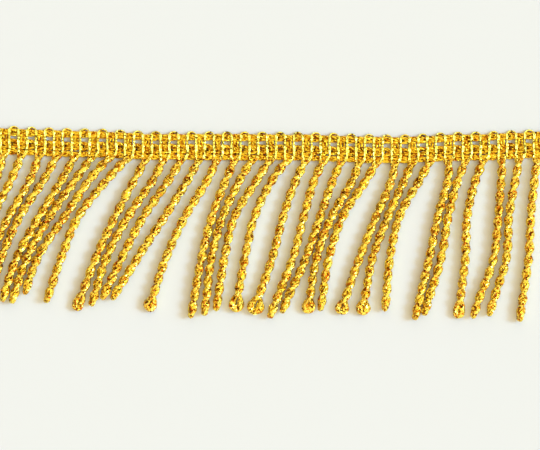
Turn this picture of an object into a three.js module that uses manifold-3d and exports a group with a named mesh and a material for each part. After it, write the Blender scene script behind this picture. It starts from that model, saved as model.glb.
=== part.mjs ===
// A cut length of metallic twisted fringe, lying flat: a worked heading with a scalloped top edge,
// and a lowest chain row that holds one two-ply strand for each repeat.
// Millimetres. X runs along the heading, Y points from the tips to the heading, Z out of the surface.
// The origin is in the middle of the heading's flat back.

import * as THREE from "three";
import { mergeVertices } from "three/addons/utils/BufferGeometryUtils.js";
import Module from "manifold-3d";

// Repeat of the pattern
const PITCH = 4.8; // from one strand to the next
const STITCH = PITCH / 2; // from one weft leg to the next
const SCALLOP_DEPTH = 0.65; // how far the top edge dips between two scallops
const STITCH_RELIEF = 0.2; // how far the yarn rises over a weft leg

// Cross-sections along the heading: place below the top edge, and height above the surface
const TOP_EDGE_Y = 3.0; // the top of the scallops, above the origin
const HEADING_PROFILE = [
  { down: 0, height: 0.7 },
  { down: 0.9, height: 1.4 },
  { down: 1.65, height: 1.7 }, // first chain row
  { down: 2.4, height: 1.3 },
  { down: 3.1, height: 0.8 }, // between the rows
  { down: 3.9, height: 1.35 },
  { down: 4.85, height: 1.8 }, // second chain row
  { down: 5.6, height: 1.4 },
  { down: 5.95, height: 0.7 },
];
const STRIP_PROFILE = [
  { down: 6.25, height: 0.8 },
  { down: 7.05, height: 1.9 }, // third chain row, where the strands are rooted
  { down: 7.85, height: 0.8 },
];
const HEADING_STEPS_PER_STITCH = 3;
const STRIP_STEPS_PER_STITCH = 2;
const NEAR = 1e-3; // points closer than this are the same point

// How the heading lies: it isn't quite straight, and each place along it is lifted this much
const LAY = [
  { at: -76, lift: 1.7 },
  { at: -50, lift: 0.95 },
  { at: -30, lift: 0.2 },
  { at: 3, lift: 0.05 },
  { at: 34, lift: -0.7 },
  { at: 51, lift: 0 },
  { at: 76, lift: 0.75 },
];

// A strand: two plies with a diamond for a section, which makes half a turn in each lobe
const LOBES = 13; // the last one is the loop at the tip
const STEPS_PER_LOBE = 3;
const LOBE_HALF_WIDTH = 1.1;
const NECK_HALF_WIDTH = 0.6;
const ROOT_WIDENING = 1.15; // the two legs run together here

// The loop at a tip, step by step, as shares of the widest place
const LOOP_SHARES = [1, 0.95, 0.4];

// A strand's middle line is given at these levels
const STATION_YS = [-10, -20, -31, -42];

// Each strand's places along X at those levels, its length from the middle of the strip, and the width of
// its loop, which is narrow where the loop stands on edge
const STRANDS = [
  { places: [-74.4, -79.6, -84.4, -87.6], length: 45, loop: 1.7 },
  { places: [-70.3, -75.4, -79.9, -83.2], length: 45, loop: 1.7 },
  { places: [-65.2, -71.0, -76.0, -79.5], length: 45, loop: 1.7 },
  { places: [-61.5, -68.0, -72.9, -76.0], length: 45, loop: 1.7 },
  { places: [-56.6, -62.8, -68.8, -72.5], length: 45, loop: 1.7 },
  { places: [-53.0, -59.9, -66.0, -69.8], length: 46.5, loop: 1.8 },
  { places: [-49.1, -55.9, -63.1, -67.0], length: 45, loop: 1.8 },
  { places: [-44.4, -52.2, -56.8, -60.5], length: 46.5, loop: 1.8 },
  { places: [-37.0, -42.3, -47.4, -51.6], length: 46, loop: 2.9 },
  { places: [-32.0, -38.8, -44.5, -48.1], length: 45.5, loop: 1.8 },
  { places: [-27.7, -34.6, -40.4, -45.7], length: 44.5, loop: 1.7 },
  { places: [-22.6, -28.9, -36.1, -42.9], length: 45.5, loop: 1.6 },
  { places: [-17.3, -23.4, -28.5, -32.2], length: 46, loop: 3.5 },
  { places: [-12.3, -16.1, -18.9, -20.9], length: 45.5, loop: 1.7 },
  { places: [-8.5, -13.2, -16.2, -17.6], length: 45.5, loop: 1.8 },
  { places: [-3.9, -10.0, -12.7, -14.5], length: 45, loop: 1.7 },
  { places: [0.2, -4.6, -7.2, -9.2], length: 45, loop: 4.1 },
  { places: [6.6, 3.1, 0.2, -3.6], length: 45, loop: 4.3 },
  { places: [11.6, 8.7, 5.8, 1.5], length: 46, loop: 1.6 },
  { places: [16.6, 13.1, 9.3, 4.4], length: 45, loop: 1.6 },
  { places: [21.9, 16.2, 12.2, 10.3], length: 44.5, loop: 3.5 },
  { places: [25.6, 19.2, 15.5, 13.7], length: 44.5, loop: 1.6 },
  { places: [32.4, 28.2, 23.8, 19.9], length: 44.5, loop: 3.6 },
  { places: [35.9, 31.4, 27.3, 25.2], length: 44.5, loop: 3.7 },
  { places: [40.0, 34.5, 32.0, 30.9], length: 44, loop: 1.8 },
  { places: [47.6, 44.9, 42.6, 40.0], length: 45, loop: 1.7 },
  { places: [50.4, 47.7, 45.8, 42.5], length: 44.5, loop: 1.6 },
  { places: [55.1, 52.8, 52.3, 51.0], length: 44.5, loop: 3.0 },
  { places: [62.0, 61.2, 60.0, 56.1], length: 45, loop: 1.6 },
  { places: [65.8, 64.1, 63.4, 60.1], length: 44.5, loop: 1.6 },
  { places: [71.0, 70.0, 69.4, 67.8], length: 45.5, loop: 1.8 },
];

const STITCHES = STRANDS.length * 2;
const HEADING_LENGTH = STRANDS.length * PITCH;
const STRIP_MIDDLE_Y = TOP_EDGE_Y - STRIP_PROFILE[1].down;

const gold = new THREE.MeshStandardMaterial({ color: 0xd9a520, roughness: 0.35, metalness: 0.9 });

// The heading's lift at a place along it, eased from one row of the table to the next
function liftAt(x) {
  let row = 0;
  while (row < LAY.length - 2 && x > LAY[row + 1].at) row += 1;
  const from = LAY[row];
  const to = LAY[row + 1];
  return THREE.MathUtils.lerp(from.lift, to.lift, THREE.MathUtils.smoothstep(x, from.at, to.at));
}

function rootX(index) {
  return (index + 0.5) * PITCH - HEADING_LENGTH / 2;
}

// 1 on a weft leg and -1 half-way between two legs, which lie a quarter of the pitch from each root
function legWave(x) {
  const fromLeg = x - rootX(0) - STITCH / 2;
  return Math.cos((2 * Math.PI * fromLeg) / STITCH);
}

// How far the top edge dips: not at all in the middle of a scallop, and furthest over a root
function scallopDip(x) {
  return SCALLOP_DEPTH * Math.abs(Math.cos((Math.PI * (x - rootX(0))) / PITCH));
}

// A band along the heading, flat below, with its cross-section raised over each weft leg
function makeBand(profile, stepsPerStitch, dipOf) {
  const first = profile[0];
  const last = profile[profile.length - 1];
  const section = new THREE.Shape();
  section.moveTo(-first.down, 0);
  profile.forEach((point) => section.lineTo(-point.down, point.height));
  section.lineTo(-last.down, 0);
  section.closePath();
  const geometry = new THREE.ExtrudeGeometry(section, {
    depth: HEADING_LENGTH,
    steps: STITCHES * stepsPerStitch,
    bevelEnabled: false,
  });
  const position = geometry.getAttribute("position");
  for (let i = 0; i < position.count; i += 1) {
    const along = position.getZ(i) - HEADING_LENGTH / 2;
    const down = -position.getX(i);
    const height = position.getY(i);
    const inside = down > first.down + NEAR && down < last.down - NEAR;
    const dip = down < first.down + NEAR ? dipOf(along) : 0;
    const rise = inside ? STITCH_RELIEF * legWave(along) : 0;
    position.setXYZ(i, along, TOP_EDGE_Y + liftAt(along) - down - dip, height + rise);
  }
  return closed(geometry);
}

// Only shared positions are left, so that the body is closed
function closed(geometry) {
  geometry.deleteAttribute("normal");
  geometry.deleteAttribute("uv");
  return mergeVertices(geometry, NEAR / 10);
}

// The line that a strand follows from the strip, somewhat longer than the strand
function strandCurve(index) {
  const root = new THREE.Vector3(rootX(index), STRIP_MIDDLE_Y + liftAt(rootX(index)), 0);
  const stations = STRANDS[index].places.map((x, level) => new THREE.Vector3(x, STATION_YS[level], 0));
  const [beforeLast, last] = stations.slice(-2);
  const beyond = last.clone().multiplyScalar(2).sub(beforeLast);
  return new THREE.CatmullRomCurve3([root, ...stations, beyond]);
}

// How wide and how far turned the section is at a step, and how high its middle lies
function sectionAt(step, loopWidth) {
  const turningSteps = (LOBES - 1) * STEPS_PER_LOBE;
  const inLoop = step - turningSteps - 1;
  if (inLoop >= 0) {
    const share = (LOOP_SHARES[inLoop] * loopWidth) / 2 / LOBE_HALF_WIDTH;
    return { widening: share, angle: 0, middle: NECK_HALF_WIDTH };
  }
  const angle = (Math.PI * step) / STEPS_PER_LOBE;
  const middle = LOBE_HALF_WIDTH * Math.sin(Math.PI / STEPS_PER_LOBE);
  return { widening: step === 0 ? ROOT_WIDENING : 1, angle, middle };
}

// One strand, bent along its curve and turned as a right-over-left twist
function makeStrand(index) {
  const diamond = new THREE.Shape([
    new THREE.Vector2(LOBE_HALF_WIDTH, 0),
    new THREE.Vector2(0, NECK_HALF_WIDTH),
    new THREE.Vector2(-LOBE_HALF_WIDTH, 0),
    new THREE.Vector2(0, -NECK_HALF_WIDTH),
  ]);
  const steps = LOBES * STEPS_PER_LOBE;
  const geometry = new THREE.ExtrudeGeometry(diamond, { depth: steps, steps, bevelEnabled: false });
  const curve = strandCurve(index);
  const curveLength = curve.getLength();
  const position = geometry.getAttribute("position");
  for (let i = 0; i < position.count; i += 1) {
    const step = Math.round(position.getZ(i));
    const share = (STRANDS[index].length * step) / steps / curveLength;
    const centre = curve.getPointAt(share);
    const tangent = curve.getTangentAt(share);
    const section = sectionAt(step, STRANDS[index].loop);
    const wide = position.getX(i) * section.widening;
    const high = position.getY(i);
    const across = wide * Math.cos(section.angle) - high * Math.sin(section.angle);
    const up = wide * Math.sin(section.angle) + high * Math.cos(section.angle);
    position.setXYZ(i, centre.x - tangent.y * across, centre.y + tangent.x * across, section.middle + up);
  }
  return closed(geometry);
}

// The strip and its strands, joined into one closed body
async function makeFringe() {
  const wasm = await Module();
  wasm.setup();
  const solidOf = (geometry) => new wasm.Manifold(new wasm.Mesh({
    numProp: 3,
    vertProperties: new Float32Array(geometry.getAttribute("position").array),
    triVerts: new Uint32Array(geometry.index.array),
  }));
  let joined = solidOf(makeBand(STRIP_PROFILE, STRIP_STEPS_PER_STITCH, () => 0));
  STRANDS.forEach((_, index) => {
    joined = joined.add(solidOf(makeStrand(index)));
  });
  const mesh = joined.getMesh();
  const geometry = new THREE.BufferGeometry();
  geometry.setAttribute("position", new THREE.BufferAttribute(mesh.vertProperties, 3));
  geometry.setIndex(new THREE.BufferAttribute(mesh.triVerts, 1));
  return geometry;
}

function named(name, geometry) {
  geometry.computeVertexNormals();
  const mesh = new THREE.Mesh(geometry, gold);
  mesh.name = name;
  return mesh;
}

const trim = new THREE.Group();
trim.add(named("heading", makeBand(HEADING_PROFILE, HEADING_STEPS_PER_STITCH, scallopDip)));
trim.add(named("fringe", await makeFringe()));

export default trim;
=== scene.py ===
# A cut length of metallic twisted fringe lying flat on a pale surface, seen from straight above.
# Every strand is the weft yarn doubled back and twisted in two plies. The same yarn runs up through the
# heading in two legs for each strand and turns over in scallops, and three chain rows hold it.
# Shapes are worked out in millimetres, in the frame's own axes, and turned into metres in new_piece.
# In the heading, down is measured from its top edge. In a strand it is measured from the strip.

import math
from collections import namedtuple

import bpy
import numpy as np
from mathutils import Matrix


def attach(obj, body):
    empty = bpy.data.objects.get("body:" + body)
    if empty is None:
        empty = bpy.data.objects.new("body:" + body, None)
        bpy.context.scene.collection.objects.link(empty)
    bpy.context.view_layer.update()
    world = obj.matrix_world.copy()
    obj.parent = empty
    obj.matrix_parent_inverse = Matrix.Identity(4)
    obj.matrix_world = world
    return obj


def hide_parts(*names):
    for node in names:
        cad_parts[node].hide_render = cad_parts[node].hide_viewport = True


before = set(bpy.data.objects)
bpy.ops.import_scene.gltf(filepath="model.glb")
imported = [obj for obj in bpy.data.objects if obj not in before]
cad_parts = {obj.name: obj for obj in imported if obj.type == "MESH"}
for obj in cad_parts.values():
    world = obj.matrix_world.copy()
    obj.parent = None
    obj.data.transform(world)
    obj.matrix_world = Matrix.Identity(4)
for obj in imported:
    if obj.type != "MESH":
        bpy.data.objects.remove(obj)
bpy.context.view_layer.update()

MM = 0.001
BODY = "root"
HEADING = {"node": "heading", "slot": "heading_yarn"}
FRINGE = {"node": "fringe", "slot": "strand_yarn"}

# The repeat, and the chain rows. spread is half the height of a stitch's middle line
PITCH = 4.8
STITCH = PITCH / 2
TOP_EDGE_Y = 3.0
ROWS = [
    {"name": "chain_row_1", "stands_for": HEADING, "down": 1.72, "spread": 0.6},
    {"name": "chain_row_2", "stands_for": HEADING, "down": 4.9, "spread": 1.08},
    {"name": "chain_row_3", "stands_for": FRINGE, "down": 7.0, "spread": 0.44},
]
STRIP_DOWN = ROWS[2]["down"]

# How the heading lies: it isn't quite straight, and each place along X is lifted this much
LAY = np.array([(-76, 1.7), (-50, 0.95), (-30, 0.2), (3, 0.05), (34, -0.7), (51, 0.0), (76, 0.75)])

# The film yarns that everything is made of
YARNS_IN_PLY = 4
YARN_STEP = 0.3
YARN_SIDES = 6

# The most that a ply in the heading starts turned by, in radians
MOST_PHASE = 6

# A film yarn in its ply, in shares of the ply's radius
YARN_REACH = 0.58
YARN_HALF_WIDTH = 0.56
YARN_HALF_DEPTH = 0.4

# How unevenly things lie: the steps from one change to the next, and the size of a change
YARN_WANDER = {
    "angle": (6, 0.1),
    "reach": (4, 0.03),
    "roll": (2, 0.3),
    "width": (2, 0.05),
    "depth": (2, 0.04),
}
LEG_YARN_WANDER = {"aside": (3, 0.05), "above": (3, 0.06), "facing": (2, 0.16)}
WEFT_WANDER = (6, 0.05)
CHAIN_WANDER = (5, 0.05)
GROUND_WANDER = (8, 0.04)
TURN_WANDER = (24, 0.1)
PLY_WANDER = (8, 0.04)

# The weft's legs, which rise and swell where they cross the chain rows. Their film yarns are turned a
# little to the right
LEG_RADIUS = 0.43
LEG_LOW = 0.66
LEG_RISE = 0.5
LEG_FALLS_PAST_ROW = (0.1, 0.5)
LEG_NECK = 0.7
LEG_SWELL = 0.3
SWELLS_DOWN = (1.3, 4.3, 7.3)
SWELL_LENGTH = 0.55
LEG_LEANING = np.array([0.38, 0.0, 0.92])
LOWER_YARN = {"below": 0.35, "half_width": 0.85, "half_depth": 0.5}
UPPER_YARN = {"aside": 0.46, "above": 0.35, "half_width": 0.56, "half_depth": 0.42}
WEFT_STEP = 0.1

# The scallops that two legs turn over in
ARCH_SPRING_DOWN = 1.35
ARCH_RADIUS = 0.17
ARCH_HEIGHT = 0.45
ARCH_CLIMB = 0.7
ARCH_CLIMB_DOWN = (0.3, 1.3)
ARCH_SWELL_DOWN = (0.3, 1.4)
ARCH_POINTS = 24

# Below the second row a right leg turns off to the left, over the left leg of its strand
SWEEP_FROM = 6.1
SWEEP_TO = 8.9
SWEEP_WIDTH = 1.7
SWEEP_BEND = 1.5
SWEEP_RISE = 0.6
SWEEP_CLIMB = 1
SWEEP_FALL = 0.9

# Between these levels the weft's lift passes from that of its own place to that of its strand's root
LIFT_CHANGES_DOWN = (5, 7)

# A chain stitch: a teardrop loop round a short core
CHAIN_YARNS = 3
CHAIN_RADIUS = 0.5
CHAIN_TWIST = 0.15
CHAIN_HALF_LENGTH = 1.3
CHAIN_BREADTH = 0.8
CHAIN_TAPER = 0.2
CHAIN_SQUARENESS = 0.5
CHAIN_HEIGHT = 0.62
CHAIN_ARCHING = 0.18
CHAIN_POINTS = 30
CHAIN_SCATTER = {"spread": 0.08, "height": 0.03, "x": 0.05, "y": 0.04}
CORE_YARNS = 2
CORE_RADIUS = 0.36
CORE_REACH = (-0.2, 1.2)
CORE_DROP = 0.1
CORE_HEIGHT = 0.6
CORE_POINTS = 6

# The straight yarns under the first two rows, and the short one under each whole scallop. Their dark brown
# film is painted shade: it stands in for the shadow under the rows and in each scallop's hollow
GROUND_YARNS = 2
GROUND_RADIUS = 0.32
GROUND_TWIST = 0.2
GROUND_HEIGHT = 0.36
GROUND_OFFSETS = (-0.35, 0.3)
GROUND_INSET = 0.3
SHORT_YARN_DOWN = 0.62
SHORT_YARN_REACH = 0.9

# The ties in the dips
TIE_YARNS = 3
TIE_RADIUS = 0.42
TIE_TWIST = 0.12
TIE_ASIDE = 0.38
TIE_WAVE = 0.06
TIE_WAVES = 2
TIE_HEIGHT = 0.55
TIE_OVERLAPS = (0.5, 0.2)
TIE_POINTS = 12
TIE_SCATTER = 0.04

# A strand's two plies, which start as thin as the legs. YARN_PROUD is how far film yarns stand out of one
PLY_RADIUS = 0.68
PLY_OFFSET = 0.65
PLY_TWIST = 0.11
TURN_LENGTH = 6.8
TURN_SCATTER = 0.03
TURNING_FROM = 0.6
YARN_PROUD = 0.1
REST_HEIGHT = PLY_RADIUS + PLY_OFFSET + YARN_PROUD
LEAVES_LEGS = (0.2, 2.4)
SWELLS_TO_PLY = (0, 2.0)
LOOSENS = (1, 4)
TIGHTENS_BEFORE_LOOP = 3

# The loop at a tip. A narrow one stands on edge, and a wide one lies flat, with a hole if it is wide enough
LOOP_FULLNESS = 1.05
EDGE_ON_LOOP_WIDTH = 2.5
EDGE_ON_TURN = 0.37
EDGE_ON_HALF = 0.5
EDGE_ON_LENGTH = 0.4
EDGE_ON_RADII = 2.2
OPEN_LOOP_WIDTH = 3.7
CLOSED_LOOP_WIDTH = 4.0
WIDEST_HOLE = 1
FLAT_EXTRA_RADIUS = 0.06
FLAT_EXTRA_HALF = 0.1
FLAT_LENGTH = 0.9
LENGTH_FOR_HOLE = 1.3
LENGTH_FOR_SLIMNESS = 1.8
CLOSING_SHARE = 0.7
CLOSING_EXTRA = 0.2
OPENS_BEFORE_LOOP = 2
OPENED_AT_LOOP = 0.5
CHANGES_ROUND_LOOP = 1
LOOP_POINTS = 14
BOW_POINTS = 19

# Each strand's places along X at these levels, its length from the strip, and the width of its loop
STATION_YS = (-10, -20, -31, -42)
Strand = namedtuple("Strand", "places length loop_width")
STRANDS = [
    Strand((-74.4, -79.6, -84.4, -87.6), 45, 1.7),
    Strand((-70.3, -75.4, -79.9, -83.2), 45, 1.7),
    Strand((-65.2, -71.0, -76.0, -79.5), 45, 1.7),
    Strand((-61.5, -68.0, -72.9, -76.0), 45, 1.7),
    Strand((-56.6, -62.8, -68.8, -72.5), 45, 1.7),
    Strand((-53.0, -59.9, -66.0, -69.8), 46.5, 1.8),
    Strand((-49.1, -55.9, -63.1, -67.0), 45, 1.8),
    Strand((-44.4, -52.2, -56.8, -60.5), 46.5, 1.8),
    Strand((-37.0, -42.3, -47.4, -51.6), 46, 2.9),
    Strand((-32.0, -38.8, -44.5, -48.1), 45.5, 1.8),
    Strand((-27.7, -34.6, -40.4, -45.7), 44.5, 1.7),
    Strand((-22.6, -28.9, -36.1, -42.9), 45.5, 1.6),
    Strand((-17.3, -23.4, -28.5, -32.2), 46, 3.5),
    Strand((-12.3, -16.1, -18.9, -20.9), 45.5, 1.7),
    Strand((-8.5, -13.2, -16.2, -17.6), 45.5, 1.8),
    Strand((-3.9, -10.0, -12.7, -14.5), 45, 1.7),
    Strand((0.2, -4.6, -7.2, -9.2), 45, 4.1),
    Strand((6.6, 3.1, 0.2, -3.6), 45, 4.3),
    Strand((11.6, 8.7, 5.8, 1.5), 46, 1.6),
    Strand((16.6, 13.1, 9.3, 4.4), 45, 1.6),
    Strand((21.9, 16.2, 12.2, 10.3), 44.5, 3.5),
    Strand((25.6, 19.2, 15.5, 13.7), 44.5, 1.6),
    Strand((32.4, 28.2, 23.8, 19.9), 44.5, 3.6),
    Strand((35.9, 31.4, 27.3, 25.2), 44.5, 3.7),
    Strand((40.0, 34.5, 32.0, 30.9), 44, 1.8),
    Strand((47.6, 44.9, 42.6, 40.0), 45, 1.7),
    Strand((50.4, 47.7, 45.8, 42.5), 44.5, 1.6),
    Strand((55.1, 52.8, 52.3, 51.0), 44.5, 3.0),
    Strand((62.0, 61.2, 60.0, 56.1), 45, 1.6),
    Strand((65.8, 64.1, 63.4, 60.1), 44.5, 1.6),
    Strand((71.0, 70.0, 69.4, 67.8), 45.5, 1.8),
]
HEADING_LENGTH = len(STRANDS) * PITCH

# What each piece's random draws start from, with its own number added
STRAND_SEED = 100
WEFT_SEED = 400
CHAIN_SEED = 700
GROUND_SEED = 750
TIE_SEED = 800

# The films. Each facet's gold is picked by chance, from 0 to 1: the darkest up to darkest_to, the deep one
# at DEEP_AT and the bright one from BRIGHT_AT on
Film = namedtuple("Film", "deep bright roughness tipping darkest_to")
# The ground yarns' film is painted shade: a near-black brown for the shadow under the rows and scallops
GROUND_SHADE_FILM = Film((0.2, 0.05, 0.001), (0.5, 0.17, 0.004), 0.4, 0.6, 0.07)
CHAIN_FILM = Film((0.66, 0.19, 0.002), (0.95, 0.66, 0.04), 0.3, 0.45, 0.0)
# The weft's film is paler than the strands', though it is the same yarn: a painted highlight along the legs
WEFT_HIGHLIGHT_FILM = Film((0.98, 0.7, 0.08), (1.0, 0.92, 0.18), 0.3, 0.4, 0.07)
STRAND_FILM = Film((0.8, 0.19, 0.0), (1.0, 0.81, 0.13), 0.18, 0.52, 0.07)
METALLIC = 0.92
DARKEST_SHARE = 0.25
DEEP_AT = 0.16
BRIGHT_AT = 0.38
SMOOTHER = 0.08
ROUGHER = 0.12
CRINKLE_STRENGTH = 0.35

# The sizes of the film's patterns: how many to a metre, and how deep its crinkles are in metres
FACET_SCALE = 2300
ROUGHNESS_SCALE = 2600
CRINKLE_SCALE = 5200
CRINKLE_DETAIL = 3.0
CRINKLE_DEPTH = 0.00006

# The light comes from beyond the right-hand end. SKY holds how nearly a direction points at it, from -1
# to 1, with the brightness there and its tint
LIGHT_AZIMUTH = 5
LIGHT_ELEVATION = 36
KEY_STRENGTH = 1.3
KEY_SPREAD = 16
SKY_STRENGTH = 4.0
AMBER = (1.0, 0.34, 0.02)
WARM = (1.0, 0.83, 0.48)
COOL = (0.38, 0.71, 1.0)
SKY = [
    (-1.0, 0.04, AMBER),
    (-0.2, 0.06, AMBER),
    (0.2, 0.28, WARM),
    (0.5, 0.38, WARM),
    (0.8, 0.32, WARM),
    (0.92, 0.33, COOL),
    (1.0, 0.65, COOL),
]


def smoothstep(value, low, high):
    share = np.clip((np.asarray(value, float) - low) / (high - low), 0, 1)
    return share * share * (3 - 2 * share)


def lift_at(x):
    """How far the heading lies above its straight line at x, eased between the rows of LAY."""
    x = np.asarray(x, float)
    lift = np.full(x.shape, LAY[0, 1])
    for (from_x, from_lift), (to_x, to_lift) in zip(LAY[:-1], LAY[1:]):
        eased = from_lift + (to_lift - from_lift) * smoothstep(x, from_x, to_x)
        lift = np.where(x > from_x, eased, lift)
    return lift


def root_x(index):
    return (index + 0.5) * PITCH - HEADING_LENGTH / 2


def unit(vectors):
    return vectors / np.linalg.norm(vectors, axis=-1, keepdims=True)


def catmull_rom(points, samples=40):
    """A smooth curve through the points, with the speed that keeps it from overshooting."""
    points = np.asarray(points, float)
    points = np.vstack([2 * points[0] - points[1], points, 2 * points[-1] - points[-2]])
    curve = []
    share = np.linspace(0, 1, samples, endpoint=False)[:, None]
    for p0, p1, p2, p3 in zip(points[:-3], points[1:-2], points[2:-1], points[3:]):
        k0, k1, k2 = (math.sqrt(np.linalg.norm(b - a)) for a, b in ((p0, p1), (p1, p2), (p2, p3)))
        t1 = k1 * ((p1 - p0) / k0 - (p2 - p0) / (k0 + k1) + (p2 - p1) / k1)
        t2 = k1 * ((p2 - p1) / k1 - (p3 - p1) / (k1 + k2) + (p3 - p2) / k2)
        bend = -3 * p1 + 3 * p2 - 2 * t1 - t2
        curl = 2 * p1 - 2 * p2 + t1 + t2
        curve.append(p1 + t1 * share + bend * share**2 + curl * share**3)
    return np.vstack(curve)


def lengths_along(path):
    return np.concatenate([[0], np.cumsum(np.linalg.norm(np.diff(path, axis=0), axis=1))])


def resample(path, step, *values, fewest_steps=3):
    """The path, and values known along it, at even steps."""
    along = lengths_along(path)
    steps = max(int(round(along[-1] / step)), fewest_steps)
    even = np.linspace(0, along[-1], steps + 1)
    columns = [np.interp(even, along, column) for column in (*path.T, *values)]
    return np.stack(columns[:3], 1), *columns[3:]


def wander(rng, count, knot_every, size, spare_knots=3):
    """A smooth random value along a path of that many points."""
    knots = rng.normal(0, size, count // knot_every + spare_knots)
    return np.interp(np.arange(count) / knot_every, np.arange(len(knots)), knots)


def carried_frame(path, nearly_along=0.9):
    """Two directions across the path at each point, carried along it without turning about it."""
    tangents = unit(np.gradient(path, axis=0))
    first = np.empty_like(path)
    across = np.array([0.0, 0.0, 1.0])
    if abs(tangents[0] @ across) > nearly_along:
        across = np.array([1.0, 0.0, 0.0])
    for i, tangent in enumerate(tangents):
        across = across - tangent * (across @ tangent)
        across /= np.linalg.norm(across)
        first[i] = across
    return first, np.cross(tangents, first)


def tube(path, outward, half_width, half_depth, sides=YARN_SIDES):
    """A closed tube of oval section along the path. Its flat side faces outward."""
    tangents = unit(np.gradient(path, axis=0))
    outward = unit(outward - tangents * np.sum(outward * tangents, axis=1, keepdims=True))
    sideways = np.cross(tangents, outward)
    angles = 2 * math.pi * np.arange(sides) / sides
    wide = np.broadcast_to(half_width, len(path))[:, None, None] * np.cos(angles)[None, :, None]
    deep = np.broadcast_to(half_depth, len(path))[:, None, None] * np.sin(angles)[None, :, None]
    rings = path[:, None] + wide * sideways[:, None] + deep * outward[:, None]
    ring_starts = np.arange(len(path) - 1)[:, None] * sides
    near = ring_starts + np.arange(sides)[None]
    near_next = ring_starts + (np.arange(sides)[None] + 1) % sides
    faces = np.stack([near, near_next, near_next + sides, near + sides], axis=-1).reshape(-1, 4)
    last = (len(path) - 1) * sides
    ends = [list(range(sides))[::-1], [last + i for i in range(sides)]]
    return rings.reshape(-1, 3), faces, ends


def ply(rng, path, radius, twist, yarns=YARNS_IN_PLY, phase=0.0):
    """The film yarns of one ply along the path, laid round its middle. twist is in turns a millimetre."""
    first, second = carried_frame(path)
    along = lengths_along(path)
    count = len(path)
    radius = np.broadcast_to(radius, count)
    pieces = []
    for yarn in range(yarns):
        angle = phase + 2 * math.pi * (yarn / yarns + twist * along)
        angle = angle + wander(rng, count, *YARN_WANDER["angle"])
        out = first * np.cos(angle)[:, None] + second * np.sin(angle)[:, None]
        reach = radius * (YARN_REACH + wander(rng, count, *YARN_WANDER["reach"]))
        rolled = angle + wander(rng, count, *YARN_WANDER["roll"])
        facing = first * np.cos(rolled)[:, None] + second * np.sin(rolled)[:, None]
        half_width = radius * (YARN_HALF_WIDTH + wander(rng, count, *YARN_WANDER["width"]))
        half_depth = radius * (YARN_HALF_DEPTH + wander(rng, count, *YARN_WANDER["depth"]))
        pieces.append(tube(path + out * reach[:, None], facing, half_width, half_depth))
    return pieces


def flat_yarns(rng, path, radius):
    """The film yarns of a leg: one below, and two side by side on it, turned the way the leg leans."""
    count = len(path)
    lower, upper, uneven = LOWER_YARN, UPPER_YARN, LEG_YARN_WANDER
    tangents = unit(np.gradient(path, axis=0))
    sideways = unit(np.cross(tangents, LEG_LEANING))
    below = path - LEG_LEANING * (lower["below"] * radius[:, None])
    facing = np.tile(LEG_LEANING, (count, 1))
    pieces = [tube(below, facing, lower["half_width"] * radius, lower["half_depth"] * radius)]
    for side in (-1, 1):
        aside = side * radius * (upper["aside"] + wander(rng, count, *uneven["aside"]))
        above = radius * (upper["above"] + wander(rng, count, *uneven["above"]))
        place = path + sideways * aside[:, None] + LEG_LEANING * above[:, None]
        facing = LEG_LEANING + np.stack([wander(rng, count, *uneven["facing"]) for _ in range(3)], 1)
        pieces.append(tube(place, facing, upper["half_width"] * radius, upper["half_depth"] * radius))
    return pieces


def new_piece(name, tubes, material, node, slot):
    """One object of all the tubes, standing for the node."""
    points, faces, offset = [], [], 0
    for tube_points, tube_faces, ends in tubes:
        points.append(tube_points)
        faces.extend((tube_faces + offset).tolist())
        faces.extend([[corner + offset for corner in end] for end in ends])
        offset += len(tube_points)
    mesh = bpy.data.meshes.new(name)
    mesh.from_pydata((np.vstack(points) * MM).tolist(), [], faces)
    mesh.materials.append(material)
    piece = bpy.data.objects.new(name, mesh)
    bpy.context.scene.collection.objects.link(piece)
    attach(piece, BODY)
    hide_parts(node)


def leg_height(down):
    """How high a leg's middle lies: over the chain rows and lower between them."""
    down = np.asarray(down, float)
    over = np.zeros(down.shape)
    for row in ROWS:
        away = np.abs(down - row["down"]) - row["spread"]
        over = np.maximum(over, 1 - smoothstep(away, *LEG_FALLS_PAST_ROW))
    return LEG_LOW + LEG_RISE * over


def sweep(down):
    """How far a right leg has turned off to the left on its way down to its strand."""
    share = (down - SWEEP_FROM) / (SWEEP_TO - SWEEP_FROM)
    return SWEEP_WIDTH * np.clip(share, 0, None) ** SWEEP_BEND


def swept_rise(down):
    """How much higher a right leg lies where it turns off over the left one."""
    climbing = smoothstep(down, SWEEP_FROM, SWEEP_FROM + SWEEP_CLIMB)
    falling = smoothstep(down, SWEEP_TO - SWEEP_FALL, SWEEP_TO)
    return SWEEP_RISE * climbing * (1 - falling)


def weft_line(arch):
    """The weft's middle line between two strands, and how far down each of its points is."""
    half = STITCH / 2
    left_down = np.arange(SWEEP_TO, ARCH_SPRING_DOWN, -WEFT_STEP)
    right_down = np.arange(STRIP_DOWN, ARCH_SPRING_DOWN, -WEFT_STEP)[::-1]
    left_x, right_x = np.full(len(left_down), -half), np.full(len(right_down), half)
    bow = np.linspace(0, math.pi, ARCH_POINTS)
    rise = ARCH_SPRING_DOWN - ARCH_RADIUS
    x = np.concatenate([left_x, -half * np.cos(bow), right_x])
    down = np.concatenate([left_down, ARCH_SPRING_DOWN - rise * np.sin(bow), right_down])
    keep = np.full(len(x), True)
    if arch == 0:
        keep = x >= 0
    elif arch == len(STRANDS):
        keep = x <= 0
    x, down = x[keep], down[keep]
    height = leg_height(down) + np.where(x < 0, swept_rise(down), 0)
    height = np.minimum(height, ARCH_HEIGHT + ARCH_CLIMB * smoothstep(down, *ARCH_CLIMB_DOWN))
    centre = root_x(arch) - PITCH / 2
    world_x = centre + x
    root_lift = lift_at(centre + np.sign(x) * PITCH / 2)
    lift = root_lift + (lift_at(world_x) - root_lift) * (1 - smoothstep(down, *LIFT_CHANGES_DOWN))
    to_left = np.where(x < 0, sweep(down), 0)
    return np.column_stack([world_x - to_left, TOP_EDGE_Y + lift - down, height]), down


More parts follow.
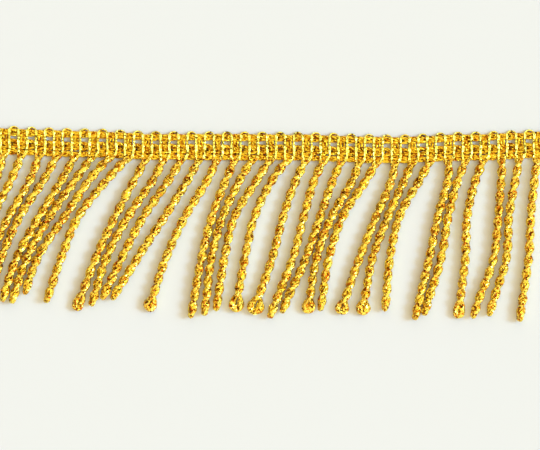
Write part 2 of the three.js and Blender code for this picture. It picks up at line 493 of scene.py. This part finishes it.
def make_weft(arch, material):
    """The weft between two strands: up one leg, over the scallop and down the other."""
    rng = np.random.default_rng(WEFT_SEED + arch)
    path, down = weft_line(arch)
    swelling = sum(np.exp(-(((down - place) / SWELL_LENGTH) ** 2)) for place in SWELLS_DOWN)
    radius = LEG_RADIUS * (LEG_NECK + LEG_SWELL * swelling)
    radius = ARCH_RADIUS + (radius - ARCH_RADIUS) * smoothstep(down, *ARCH_SWELL_DOWN)
    path, radius = resample(path, YARN_STEP, radius)
    path[:, 0] += wander(rng, len(path), *WEFT_WANDER)
    new_piece(f"weft_{arch + 1:02d}", flat_yarns(rng, path, radius), material, **HEADING)


def chain_stitch(rng, x, row):
    """One teardrop loop of the chain, from under one leg to under the next, and its core."""
    scatter = CHAIN_SCATTER
    bow = np.linspace(0, 2 * math.pi, CHAIN_POINTS)
    along = -CHAIN_HALF_LENGTH * np.cos(bow)
    narrowing = CHAIN_BREADTH + CHAIN_TAPER * np.clip(-along, -1, 1)
    spread = row["spread"] * (1 + rng.normal(0, scatter["spread"]))
    across = spread * np.sign(np.sin(bow)) * np.abs(np.sin(bow)) ** CHAIN_SQUARENESS * narrowing
    arching = np.cos(np.clip(along / CHAIN_HALF_LENGTH, -1, 1) * math.pi / 2)
    height = CHAIN_HEIGHT + CHAIN_ARCHING * arching + rng.normal(0, scatter["height"])
    world_x = x + along + rng.normal(0, scatter["x"])
    y = TOP_EDGE_Y + lift_at(world_x) - row["down"] + across + rng.normal(0, scatter["y"])
    path, = resample(np.column_stack([world_x, y, height]), YARN_STEP)
    radius = CHAIN_RADIUS * (1 + wander(rng, len(path), *CHAIN_WANDER))
    loop = ply(rng, path, radius, CHAIN_TWIST, CHAIN_YARNS, phase=rng.uniform(0, MOST_PHASE))
    core_x = np.linspace(x + CORE_REACH[0], x + CORE_REACH[1], CORE_POINTS)
    core_y = TOP_EDGE_Y + lift_at(core_x) - row["down"] - CORE_DROP
    core = np.column_stack([core_x, core_y, np.full(len(core_x), CORE_HEIGHT)])
    return loop + ply(rng, core, CORE_RADIUS, CHAIN_TWIST, CORE_YARNS, phase=rng.uniform(0, MOST_PHASE))


def make_chain_row(number, material):
    row = ROWS[number]
    rng = np.random.default_rng(CHAIN_SEED + number)
    tubes = []
    for stitch in range(2 * len(STRANDS)):
        tubes += chain_stitch(rng, root_x(0) + stitch * STITCH, row)
    new_piece(row["name"], tubes, material, **row["stands_for"])


def ground_yarn(rng, from_x, to_x, down, spare_points=3):
    x = np.linspace(from_x, to_x, int((to_x - from_x) / YARN_STEP) + spare_points)
    y = TOP_EDGE_Y + lift_at(x) - down + wander(rng, len(x), *GROUND_WANDER)
    path = np.column_stack([x, y, np.full(len(x), GROUND_HEIGHT)])
    return ply(rng, path, GROUND_RADIUS, GROUND_TWIST, GROUND_YARNS)


def make_painted_shade_ground(material):
    """Straight yarns under the first two rows, and a short one under each whole scallop, in a dark film of
    painted shade.
    """
    rng = np.random.default_rng(GROUND_SEED)
    reach = HEADING_LENGTH / 2 - GROUND_INSET
    tubes = []
    for row in ROWS[:2]:
        for offset in GROUND_OFFSETS:
            tubes += ground_yarn(rng, -reach, reach, row["down"] + offset)
    for index in range(len(STRANDS) - 1):
        middle = root_x(index) + PITCH / 2
        tubes += ground_yarn(rng, middle - SHORT_YARN_REACH, middle + SHORT_YARN_REACH, SHORT_YARN_DOWN)
    new_piece("ground", tubes, material, **HEADING)


def make_ties(material):
    """The floats that close the space between the first two rows, below each dip of the edge."""
    rng = np.random.default_rng(TIE_SEED)
    from_down = ROWS[0]["down"] - TIE_OVERLAPS[0]
    to_down = ROWS[1]["down"] + TIE_OVERLAPS[1]
    down = np.linspace(from_down, to_down, TIE_POINTS)
    aside = TIE_ASIDE + TIE_WAVE * np.cos(down * TIE_WAVES)
    tubes = []
    for index in range(len(STRANDS)):
        for side in (-1, 1):
            x = root_x(index) + side * aside + rng.normal(0, TIE_SCATTER)
            y = TOP_EDGE_Y + lift_at(x) - down
            path, = resample(np.column_stack([x, y, np.full(len(down), TIE_HEIGHT)]), YARN_STEP)
            phase = rng.uniform(0, MOST_PHASE)
            tubes += ply(rng, path, TIE_RADIUS, TIE_TWIST * side, TIE_YARNS, phase)
    new_piece("ties", tubes, material, **HEADING)


Loop = namedtuple("Loop", "on_edge radius half length closing")


def loop_of(strand):
    """The loop at a strand's tip: whether it stands on edge, its yarn's radius, half the space between
    the middles of its two sides, their length, and how far the bow that joins them reaches."""
    width = strand.loop_width * LOOP_FULLNESS
    on_edge = width < EDGE_ON_LOOP_WIDTH
    if on_edge:
        radius = width / EDGE_ON_RADII
        half = EDGE_ON_HALF
        length = EDGE_ON_LENGTH
    else:
        hole_width = min(max(width - CLOSED_LOOP_WIDTH, 0), WIDEST_HOLE)
        slimness = max(OPEN_LOOP_WIDTH - width, 0)
        radius = (width - hole_width) / 4 + FLAT_EXTRA_RADIUS
        half = width / 2 - radius + FLAT_EXTRA_HALF
        length = FLAT_LENGTH + LENGTH_FOR_HOLE * hole_width + LENGTH_FOR_SLIMNESS * slimness
    return Loop(on_edge, radius, half, length, CLOSING_SHARE * half + CLOSING_EXTRA)


def hairpin(rng, strand, loop):
    """The yarn's middle line in a straight strand: down in one ply, round the loop and up in the other.
    With it come the number of its points on the way down, and where the plies stop turning."""
    turned_end = strand.length - loop.radius - loop.closing - loop.length
    turn_length = TURN_LENGTH * (1 + rng.normal(0, TURN_SCATTER))
    last_turn = loop.on_edge * EDGE_ON_TURN
    half_turns = round(2 * turned_end / turn_length - last_turn) + last_turn
    widening = loop.half - PLY_OFFSET

    down = np.arange(0, turned_end, YARN_STEP / 2)
    tightening = smoothstep(down, turned_end - TIGHTENS_BEFORE_LOOP, turned_end)
    loosened = smoothstep(down, *LOOSENS) * (1 - tightening)
    share = np.clip((down - TURNING_FROM) / (turned_end - TURNING_FROM), 0, 1)
    turning = math.pi * half_turns * share + wander(rng, len(down), *TURN_WANDER) * loosened
    opening = smoothstep(down, turned_end - OPENS_BEFORE_LOOP, turned_end)
    offset = PLY_OFFSET + OPENED_AT_LOOP * widening * opening
    turned = np.stack([down, offset * np.cos(turning), offset * np.sin(turning)], 1)

    flat, upright = math.cos(math.pi * half_turns), math.sin(math.pi * half_turns)
    bow_starts = turned_end + loop.length
    side_down = np.linspace(turned_end, bow_starts, LOOP_POINTS)
    opening = OPENED_AT_LOOP + (1 - OPENED_AT_LOOP) * smoothstep(side_down, turned_end, bow_starts)
    side_half = PLY_OFFSET + widening * opening
    side = np.stack([side_down, flat * side_half, upright * side_half], 1)
    bow = np.linspace(0, math.pi, BOW_POINTS)
    bow_down = bow_starts + loop.closing * np.sin(bow)
    bow_half = loop.half * np.cos(bow)
    joining = np.stack([bow_down, flat * bow_half, upright * bow_half], 1)[1:-1]

    opposite = np.array([1, -1, -1])
    line = np.vstack([turned, side, joining, (side * opposite)[::-1], (turned * opposite)[::-1]])
    return line, len(turned) + len(side) + len(bow) // 2, turned_end


def strand_axis(index):
    """The strand's middle line at fine steps, and its length along it."""
    places = STRANDS[index].places
    x = root_x(index)
    points = [(x, TOP_EDGE_Y - STRIP_DOWN + float(lift_at(x)))]
    points += list(zip(places, STATION_YS))
    points.append((2 * places[-1] - places[-2], 2 * STATION_YS[-1] - STATION_YS[-2]))
    axis = catmull_rom(points)
    return axis, lengths_along(axis)


def bend_along(index, down, across, height):
    """The points of a straight strand, brought to the strand's own curve."""
    axis, along = strand_axis(index)
    tangent_line = unit(np.gradient(axis, axis=0))
    middle = np.stack([np.interp(down, along, axis[:, i]) for i in (0, 1)], 1)
    tangent = unit(np.stack([np.interp(down, along, tangent_line[:, i]) for i in (0, 1)], 1))
    side = np.stack([-tangent[:, 1], tangent[:, 0]], 1)
    return np.column_stack([middle + side * across[:, None], height])


def leg_entry(index, down, is_right):
    """Where the two legs would run on straight down past the strip."""
    x = root_x(index) + np.where(is_right, STITCH / 2 - sweep(STRIP_DOWN + down), -STITCH / 2)
    start = TOP_EDGE_Y - STRIP_DOWN + float(lift_at(root_x(index)))
    return np.column_stack([x, start - down, leg_height(STRIP_DOWN + down)])


def make_strand(index, material):
    rng = np.random.default_rng(STRAND_SEED + index)
    loop = loop_of(STRANDS[index])
    line, going_down, turned_end = hairpin(rng, STRANDS[index], loop)
    down, across, up = line.T
    path = bend_along(index, down, across, REST_HEIGHT + up)
    legs = leg_entry(index, down, np.arange(len(down)) < going_down)
    share = smoothstep(down, *LEAVES_LEGS)[:, None]
    path = legs * (1 - share) + path * share
    in_loop = smoothstep(down, turned_end - CHANGES_ROUND_LOOP, turned_end + CHANGES_ROUND_LOOP)
    if not loop.on_edge:
        path[:, 2] -= in_loop * (REST_HEIGHT - loop.radius - YARN_PROUD)
    radius = LEG_RADIUS + (PLY_RADIUS - LEG_RADIUS) * smoothstep(down, *SWELLS_TO_PLY)
    radius = radius + (loop.radius - PLY_RADIUS) * in_loop
    path, radius = resample(path, YARN_STEP, radius)
    radius = radius * (1 + wander(rng, len(path), *PLY_WANDER))
    tubes = ply(rng, path, radius, PLY_TWIST, phase=rng.uniform(0, 2 * math.pi))
    new_piece(f"strand_{index + 1:02d}", tubes, material, **FRINGE)


def noise(tree, place, scale, detail=2.0):
    node = tree.nodes.new("ShaderNodeTexNoise")
    node.inputs["Scale"].default_value = scale
    node.inputs["Detail"].default_value = detail
    tree.links.new(place, node.inputs["Vector"])
    return node.outputs["Fac"]


def vector_math(tree, operation, first, second=None):
    """The result of a vector node. second is a fixed vector, a fixed scale or another node's output."""
    node = tree.nodes.new("ShaderNodeVectorMath")
    node.operation = operation
    tree.links.new(first, node.inputs[0])
    if isinstance(second, tuple):
        node.inputs[1].default_value = second
    elif isinstance(second, float):
        node.inputs["Scale"].default_value = second
    elif second is not None:
        tree.links.new(second, node.inputs[1])
    return node.outputs["Vector"]


def colour_facets(tree, facets, film):
    """One of the film's golds for each facet, by chance."""
    chance = tree.nodes.new("ShaderNodeSeparateColor")
    tree.links.new(facets.outputs["Color"], chance.inputs["Color"])
    ramp = tree.nodes.new("ShaderNodeValToRGB")
    darkest, brightest = ramp.color_ramp.elements
    darkest.position = film.darkest_to
    darkest.color = (*(DARKEST_SHARE * part for part in film.deep), 1)
    brightest.position = BRIGHT_AT
    brightest.color = (*film.bright, 1)
    deep = ramp.color_ramp.elements.new(DEEP_AT)
    deep.color = (*film.deep, 1)
    tree.links.new(chance.outputs["Red"], ramp.inputs["Fac"])
    return ramp.outputs["Color"]


def tip_facets(tree, facets, film):
    """The surface's direction, tipped another way in each facet."""
    tipping = vector_math(tree, "SUBTRACT", facets.outputs["Color"], (0.5, 0.5, 0.5))
    tipping = vector_math(tree, "SCALE", tipping, film.tipping)
    normal = tree.nodes.new("ShaderNodeNewGeometry").outputs["Normal"]
    return vector_math(tree, "NORMALIZE", vector_math(tree, "ADD", normal, tipping))


def make_film(name, film):
    """Metallised film: three golds in fine facets that each tip their own way, with crinkles over them."""
    material = bpy.data.materials.new(name)
    material.use_nodes = True
    tree = material.node_tree
    shader = tree.nodes["Principled BSDF"]
    shader.inputs["Metallic"].default_value = METALLIC
    place = tree.nodes.new("ShaderNodeTexCoord").outputs["Object"]
    facets = tree.nodes.new("ShaderNodeTexVoronoi")
    facets.inputs["Scale"].default_value = FACET_SCALE
    tree.links.new(place, facets.inputs["Vector"])
    tree.links.new(colour_facets(tree, facets, film), shader.inputs["Base Color"])

    rough = tree.nodes.new("ShaderNodeMapRange")
    rough.inputs["To Min"].default_value = film.roughness - SMOOTHER
    rough.inputs["To Max"].default_value = film.roughness + ROUGHER
    tree.links.new(noise(tree, place, ROUGHNESS_SCALE), rough.inputs["Value"])
    tree.links.new(rough.outputs["Result"], shader.inputs["Roughness"])

    bump = tree.nodes.new("ShaderNodeBump")
    bump.inputs["Strength"].default_value = CRINKLE_STRENGTH
    bump.inputs["Distance"].default_value = CRINKLE_DEPTH
    tree.links.new(noise(tree, place, CRINKLE_SCALE, CRINKLE_DETAIL), bump.inputs["Height"])
    tree.links.new(tip_facets(tree, facets, film), bump.inputs["Normal"])
    tree.links.new(bump.outputs["Normal"], shader.inputs["Normal"])
    return material


def make_floor():
    """A plain pale sheet, in metres."""
    half = 2.0
    colour = (0.745, 0.785, 0.88, 1)
    roughness, gloss = 0.9, 0.1
    mesh = bpy.data.meshes.new("floor")
    corners = [(-half, -half, 0), (half, -half, 0), (half, half, 0), (-half, half, 0)]
    mesh.from_pydata(corners, [], [(0, 1, 2, 3)])
    floor = bpy.data.objects.new("floor", mesh)
    bpy.context.scene.collection.objects.link(floor)
    material = bpy.data.materials.new("pale_paper")
    material.use_nodes = True
    shader = material.node_tree.nodes["Principled BSDF"]
    shader.inputs["Base Color"].default_value = colour
    shader.inputs["Roughness"].default_value = roughness
    shader.inputs["Specular IOR Level"].default_value = gloss
    mesh.materials.append(material)


def direction_of(azimuth, elevation):
    a, e = math.radians(azimuth), math.radians(elevation)
    return math.cos(e) * math.cos(a), math.cos(e) * math.sin(a), math.sin(e)


def make_sky():
    """A soft surround: dim and amber away from the light, warm overhead, and cool round the light."""
    world = bpy.data.worlds.new("studio")
    world.use_nodes = True
    tree = world.node_tree
    place = tree.nodes.new("ShaderNodeTexCoord").outputs["Generated"]
    towards = tree.nodes.new("ShaderNodeVectorMath")
    towards.operation = "DOT_PRODUCT"
    tree.links.new(place, towards.inputs[0])
    towards.inputs[1].default_value = direction_of(LIGHT_AZIMUTH, LIGHT_ELEVATION)
    share = tree.nodes.new("ShaderNodeMapRange")
    share.inputs["From Min"].default_value = -1.0
    tree.links.new(towards.outputs["Value"], share.inputs["Value"])
    ramp = tree.nodes.new("ShaderNodeValToRGB")
    stops = ramp.color_ramp.elements
    for towards_light, level, tint in SKY:
        position = (towards_light + 1) / 2
        stop = stops[0] if towards_light == SKY[0][0] else stops.new(position)
        stop.position = position
        stop.color = (*(level * part for part in tint), 1)
    stops.remove(stops[-1])
    tree.links.new(share.outputs["Result"], ramp.inputs["Fac"])
    background = tree.nodes["Background"]
    background.inputs["Strength"].default_value = SKY_STRENGTH
    tree.links.new(ramp.outputs["Color"], background.inputs["Color"])
    bpy.context.scene.world = world


def make_sun():
    light = bpy.data.lights.new("key", "SUN")
    light.angle = math.radians(KEY_SPREAD)
    light.energy = KEY_STRENGTH
    light.color = COOL
    sun = bpy.data.objects.new("key", light)
    sun.rotation_euler = (0, math.radians(90 - LIGHT_ELEVATION), math.radians(LIGHT_AZIMUTH))
    bpy.context.scene.collection.objects.link(sun)


def make_camera():
    """Straight above, framed as the photograph: 540 pixels across, with the origin at a known pixel."""
    mm_per_pixel = 0.2703
    image_width, image_height = 540, 450
    origin_pixel = (271.5, 142.9)
    sensor_width = 36.0
    height = 1.0
    x = (image_width / 2 - origin_pixel[0]) * mm_per_pixel * MM
    y = (origin_pixel[1] - image_height / 2) * mm_per_pixel * MM
    data = bpy.data.cameras.new("camera")
    data.sensor_width = sensor_width
    data.lens = data.sensor_width * height / (image_width * mm_per_pixel * MM)
    camera = bpy.data.objects.new("camera", data)
    bpy.context.scene.collection.objects.link(camera)
    camera.location = (x, y, height)
    bpy.context.scene.camera = camera


# The ground's dark film is painted shade, and the weft's pale film is a painted highlight
ground_painted_shade = make_film("ground_painted_shade", GROUND_SHADE_FILM)
chain_gold = make_film("chain_gold", CHAIN_FILM)
weft_painted_highlight_gold = make_film("weft_painted_highlight_gold", WEFT_HIGHLIGHT_FILM)
strand_gold = make_film("strand_gold", STRAND_FILM)
for number in range(len(ROWS)):
    make_chain_row(number, chain_gold)
make_painted_shade_ground(ground_painted_shade)
make_ties(chain_gold)
# The wefts get the paler gold, a painted highlight
for arch in range(len(STRANDS) + 1):
    make_weft(arch, weft_painted_highlight_gold)
for index in range(len(STRANDS)):
    make_strand(index, strand_gold)
make_floor()
make_sky()
make_sun()
make_camera()
bpy.context.scene.view_settings.view_transform = "Standard"
